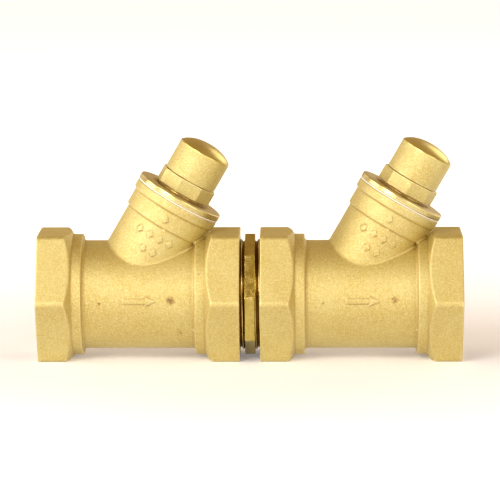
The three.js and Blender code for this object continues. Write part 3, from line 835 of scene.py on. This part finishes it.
def body_attributes(part):
    """Marks machined and soiled places of the body, and runs its tool marks round the nearer axis."""
    x, y, z = part[0].T
    end = UNIT_LENGTH / 2 - np.abs(x - UNIT_MIDDLE)
    r = np.hypot(y, z)
    along, across = branch_place(x, z)
    rb = np.hypot(across, y)
    on_rim = (along > RIM_TO - 0.15) & (rb < RIM_RADIUS)
    in_branch = (rb < PLUG_BORE + 0.8) & (along > CHAMBER_TO - 0.5)
    on_face = (end < 0.1) & (r < 38.5)
    in_socket = (r < SOCKET + 1) & (end < SOCKET_DEPTH + 0.5)
    machined = (on_rim | in_branch | on_face | in_socket).astype(float)
    profile = np.where(on_rim | in_branch, rb + along, r + end)
    soil = np.zeros(len(x))
    for place, height, reach, strength in BODY_STAINS:
        distance = np.hypot(x - place, z - height) / reach
        soil = np.maximum(soil, np.where(y < 0, strength * np.exp(-distance**2), 0))
    return machined, profile, soil


body_part = contour(body_shape, (-45.2, -39.1, -HEXAGON_HALF), (62.8, 39.1, 63.1), 0.6)
body_machined, body_profile, body_soil = body_attributes(body_part)
body_part = (*body_part, body_profile)


def cap_part():
    """The cap: cylinder, domed top, threaded inside with a shoulder for its seal."""
    rise, margin = CAP_TOP - CAP_EDGE, 0.8

    def dome_height(radius):
        return CAP_EDGE + rise * (1 - (np.clip(radius, 0, CAP_RADIUS) / CAP_RADIUS) ** 2.3) ** 0.8

    dome = [(radius, float(dome_height(radius)), 0.0) for radius in CAP_RADIUS * np.cos(np.linspace(0.12, 1.56, 22))]
    outline = [(CAP_BORE, CAP_FROM, 0.2), (CAP_RADIUS, CAP_FROM, 0.3)]
    outline += [(CAP_RADIUS, CAP_FROM + margin, 0.0), (CAP_RADIUS, CAP_EDGE - margin, 0.0)]
    outline += [(CAP_RADIUS, CAP_EDGE, 0.35), *dome]
    outline += [(0.02, CAP_TOP, 0.0), (0.02, CAP_CEILING, 0.0)]
    outline += [(8.5, CAP_CEILING, 0.8), (8.5, CAP_SHOULDER, 0.2), (CAP_BORE, CAP_SHOULDER, 0.0)]
    shell = turned(outline)
    thread = threaded((11.95, 11.25), 12.03, 72.9, 81.2, FINE_PITCH)
    part = merged(shell, thread)
    radius, height = np.hypot(part[0][:, 0], part[0][:, 1]), part[0][:, 2]
    polish = (height > dome_height(radius) - 0.15) & (height > CAP_EDGE - 0.3)
    return part, polish.astype(float)


def bonnet_part(octagon_turn):
    """The bonnet with its plug thread, nose thread and spindle thread."""
    low, high = (-DISC_RADIUS, -DISC_RADIUS, SNOUT_FROM), (DISC_RADIUS, DISC_RADIUS, NOSE_TO)
    core = contoured(bonnet_shape(octagon_turn), low, high, 0.4)
    plug = threaded(18.6, (18.8, 19.6), 47.4, 58.4, FINE_PITCH, 160)
    nose = threaded(10.6, (10.8, 11.6), 72.2, 79.9, FINE_PITCH)
    spindle_nut = threaded((7.3, 6.85), 7.45, SPINDLE_THREAD[0], 54.0, SPINDLE_PITCH, 96)
    part = merged(core, plug, nose, spindle_nut)
    radius, height = np.hypot(part[0][:, 0], part[0][:, 1]), part[0][:, 2]
    octagon = (height > OCTAGON_FROM) & (height < OCTAGON_TO) & (radius > 12.2)
    # Painted shade on the disc top round the hub, darkest next to the octagon.
    by_hub = (height > DISC_TOP - 0.8) & (height < OCTAGON_FROM + 0.2)
    soil = np.where(by_hub, np.clip((19.5 - radius) / 5, 0, 0.62), 0)
    return part, 1.0 - octagon, soil


def spindle_part():
    """The spindle: plain end, shank, thread, stem with two grooves, and a square drive."""
    thread_from, thread_to = SPINDLE_THREAD
    outline = [(0.02, -9.7, 0.0), (4.0, -9.7, 0.4), (4.0, 4.1, 0.1), (5.5, 4.1, 0.3), (5.5, 33.0, 0.2)]
    outline += [(6.3, thread_from, 0.2), (6.3, thread_to, 0.2), (6.0, 45.6, 0.2)]
    for groove in (LOWER_GROOVE, UPPER_GROOVE):
        far = groove + GROOVE_WIDTH
        outline += [(6.0, groove, 0.15), (4.4, groove, 0.2), (4.4, far, 0.2), (6.0, far, 0.15)]
    outline += [(6.0, 68.0, 0.4), (0.02, 68.0, 0.0)]
    thread = threaded(6.1, (6.3, 6.95), thread_from, thread_to, SPINDLE_PITCH, 96)
    square = contoured(square_shape, (-6, -6, 67), (6, 6, SQUARE_TO), 0.3)
    return merged(turned(outline, 96), thread, square)


def ring_part(inner, outer, low, high, rounding, segments=128):
    """A plain ring about Z."""
    corners = [(inner, low, rounding), (outer, low, rounding), (outer, high, rounding), (inner, high, rounding)]
    return turned(corners, segments)


def o_ring_part(groove):
    """A sealing ring of the spindle in the groove that starts at the given height."""
    middle = groove + GROOVE_WIDTH / 2
    angle = np.arange(16) * FULL_TURN / 16
    return turned([(5.45 + 0.74 * math.cos(a), middle + 0.88 * math.sin(a), 0.15) for a in angle], 72)


def screen_ring_part(end, into):
    """A pressed ring with a base under the screen's end and a skirt round it."""
    outline = [(16.3, end, 0.15), (18.0, end, 0.5), (18.0, end + into * 3, 0.1)]
    outline += [(17.6, end + into * 3, 0.1), (17.6, end + into, 0.1), (16.3, end + into, 0.15)]
    return turned(outline if into > 0 else outline[::-1])


def nipple_parts():
    """The nipple's threaded tube and its octagonal collar, about Z."""
    tube = ring_part(NIPPLE_BORE, 28.3, -25.35, 25.35, 0.6, 160)
    thread = threaded(28.0, (NIPPLE_ROOT, NIPPLE_CREST), -25.2, 25.2, PIPE_PITCH, 192, 2.0)
    radius = np.hypot(thread[0][:, 0], thread[0][:, 1])
    thread_crest = np.clip((radius - NIPPLE_ROOT) / (NIPPLE_CREST - NIPPLE_ROOT), 0, 1)
    collar = contoured(collar_shape, (-33, -33, -COLLAR_HALF_WIDTH), (33, 33, COLLAR_HALF_WIDTH), 0.42)
    crest = np.concatenate([np.zeros(len(tube[0])), thread_crest, np.full(len(collar[0]), 0.8)])
    return merged(tube, thread, collar), crest


pipe_height = joint("upstream_bonnet_turn")["pos_m"][2]
nipple_frame = Matrix.Translation((0, 0, pipe_height)) @ Matrix.Rotation(math.pi / 2, 4, "Y")
nipple_part, nipple_crest = nipple_parts()
place_piece(
    "nipple", nipple_part, nipple_frame, "strainer_bodies", "nipple_brass", ["joining_nipple"], crest=nipple_crest
)

disc_parts = {
    "disc": [
        (4.3, -1.4, 0.2), (15.8, -1.4, 0.2), (15.8, 2.6, 0.1), (14.8, 3.6, 0.1),
        (9.0, 3.6, 0.3), (9.0, 5.2, 0.3), (4.3, 5.2, 0.1),
    ],
    "disc_seal": [(4.3, -3.9, 0.1), (15.4, -3.9, 0.3), (15.4, -1.5, 0.3), (4.3, -1.5, 0.1)],
    "seal_washer": [(4.3, -5.5, 0.1), (9.0, -5.5, 0.35), (9.0, -4.0, 0.1), (4.3, -4.0, 0.1)],
}
disc_slots = {"disc": "spindle_brass", "disc_seal": "black_rubber", "seal_washer": "stainless_steel"}

cap_shape, cap_polish = cap_part()
spindle_shape = spindle_part()
screen_shape = perforated(SCREEN_INNER, SCREEN_OUTER, -3.8, 46.1, columns=44, hole=0.62)
branch_thread = threaded((19.95, 19.15), 20.05, 47.2, 58.2, FINE_PITCH, 160)
nut_part = contoured(nut_shape, (-7, -7, -9.1), (7, 7, -5.7), 0.25)

for unit in UNITS:
    run_frame, branch_frame = unit_frames(unit)

    def add(name, part, body, slot, nodes=None, **attributes):
        nodes = [f"{unit}_{name}"] if nodes is None else nodes
        place_piece(f"{unit}_{name}", part, branch_frame, f"{unit}_{body}", slot, nodes, **attributes)

    place_piece(
        f"{unit}_body", body_part, run_frame, "strainer_bodies", "cast_brass", [f"{unit}_body"],
        machined=body_machined, soil=body_soil * STAIN_STRENGTH[unit],
    )
    place_piece(
        f"{unit}_branch_thread", branch_thread, branch_frame, "strainer_bodies", "cast_brass", [], machined=1.0
    )
    bonnet, bonnet_machined, bonnet_soil = bonnet_part(OCTAGON_TURN[unit])
    add("bonnet", bonnet, "bonnet_set", "turned_brass", machined=bonnet_machined, soil=bonnet_soil)
    add("bonnet_gasket", ring_part(20.1, 23.85, GASKET_FROM, GASKET_TO, 0.15), "bonnet_set", "white_ptfe")
    add("cap", cap_shape, "cap_set", "cap_brass", polish=cap_polish)
    add("cap_seal", ring_part(8.8, 11.15, 80.1, 81.7, 0.2), "cap_seal_ring", "black_rubber")
    add("spindle", spindle_shape, "spindle_set", "spindle_brass")
    add("spindle_lower_o_ring", o_ring_part(LOWER_GROOVE), "spindle_set", "black_rubber")
    add("spindle_upper_o_ring", o_ring_part(UPPER_GROOVE), "spindle_set", "black_rubber")
    for name, outline in disc_parts.items():
        add(name, turned(outline), "disc_set", disc_slots[name])
    add("disc_nut", nut_part, "disc_set", "spindle_brass")
    add("screen", screen_shape, "screen_set", "stainless_steel")
    add("screen_lower_ring", screen_ring_part(-4.9, 1), "screen_set", "stainless_steel")
    add("screen_upper_ring", screen_ring_part(47.2, -1), "screen_set", "stainless_steel")

pipe_thread = threaded((29.95, 28.5), 30.05, 0.9, 20.5, PIPE_PITCH, 192, 2.0)
for name, x, turn in (("inlet", -RUN_END, math.pi / 2), ("outlet", RUN_END, -math.pi / 2)):
    end_frame = Matrix.Translation((x * MM, 0, pipe_height)) @ Matrix.Rotation(turn, 4, "Y")
    place_piece(f"{name}_socket_thread", pipe_thread, end_frame, "strainer_bodies", "cast_brass", [], machined=1.0)


# ----------------------------------------------------------------------------------------------------------- stage


def soft_light(name, place, size, watts):
    """A white softbox at a place, aimed at the object."""
    light = bpy.data.lights.new(name, "AREA")
    light.shape = "RECTANGLE"
    light.size, light.size_y = size
    light.energy = watts
    lamp = bpy.data.objects.new(name, light)
    bpy.context.scene.collection.objects.link(lamp)
    lamp.location = place
    lamp.rotation_mode = "QUATERNION"
    lamp.rotation_quaternion = (Vector(LIGHTS_AIM) - Vector(place)).to_track_quat("-Z", "Y")


def build_stage():
    """Floor, lights and sky."""
    mesh = bpy.data.meshes.new("floor")
    corners = [(x * FLOOR_HALF, y * FLOOR_HALF, 0) for x, y in ((-1, -1), (1, -1), (1, 1), (-1, 1))]
    mesh.from_pydata(corners, [], [(0, 1, 2, 3)])
    mesh.materials.append(floor_finish())
    floor = bpy.data.objects.new("floor", mesh)
    bpy.context.scene.collection.objects.link(floor)
    for light in LIGHTS:
        soft_light(*light)
    # The sky lights the object in a warm tone, and is white where the camera sees it directly.
    world = bpy.data.worlds.new("studio")
    world.use_nodes = True
    nodes, links = world.node_tree.nodes, world.node_tree.links
    tint = nodes.new("ShaderNodeMix")
    tint.data_type = "RGBA"
    tint.inputs[6].default_value = SKY_LIGHT
    tint.inputs[7].default_value = SKY_SEEN
    links.new(nodes.new("ShaderNodeLightPath").outputs["Is Camera Ray"], tint.inputs[0])
    links.new(tint.outputs[2], nodes["Background"].inputs["Color"])
    bpy.context.scene.world = world


def build_camera():
    """A long lens a little above the pipe and almost square to it."""
    azimuth, elevation, roll = math.radians(0.88), math.radians(7.9), math.radians(-0.2)
    distance, aim = 1.84, Vector((-0.0001, 0, 0.0577))
    camera = bpy.data.objects.new("camera", bpy.data.cameras.new("camera"))
    bpy.context.scene.collection.objects.link(camera)
    camera.data.sensor_width = 36
    camera.data.lens = 246.7
    camera.data.clip_end = 50
    level = math.cos(elevation)
    back = Vector((math.sin(azimuth) * level, -math.cos(azimuth) * level, math.sin(elevation)))
    camera.location = aim + back * distance
    camera.rotation_mode = "QUATERNION"
    camera.rotation_quaternion = (-back).to_track_quat("-Z", "Y") @ Quaternion((0, 0, 1), roll)
    bpy.context.scene.camera = camera


build_stage()
build_camera()
bpy.context.scene.view_settings.view_transform = "Standard"
bpy.context.scene.view_settings.look = "Medium High Contrast"
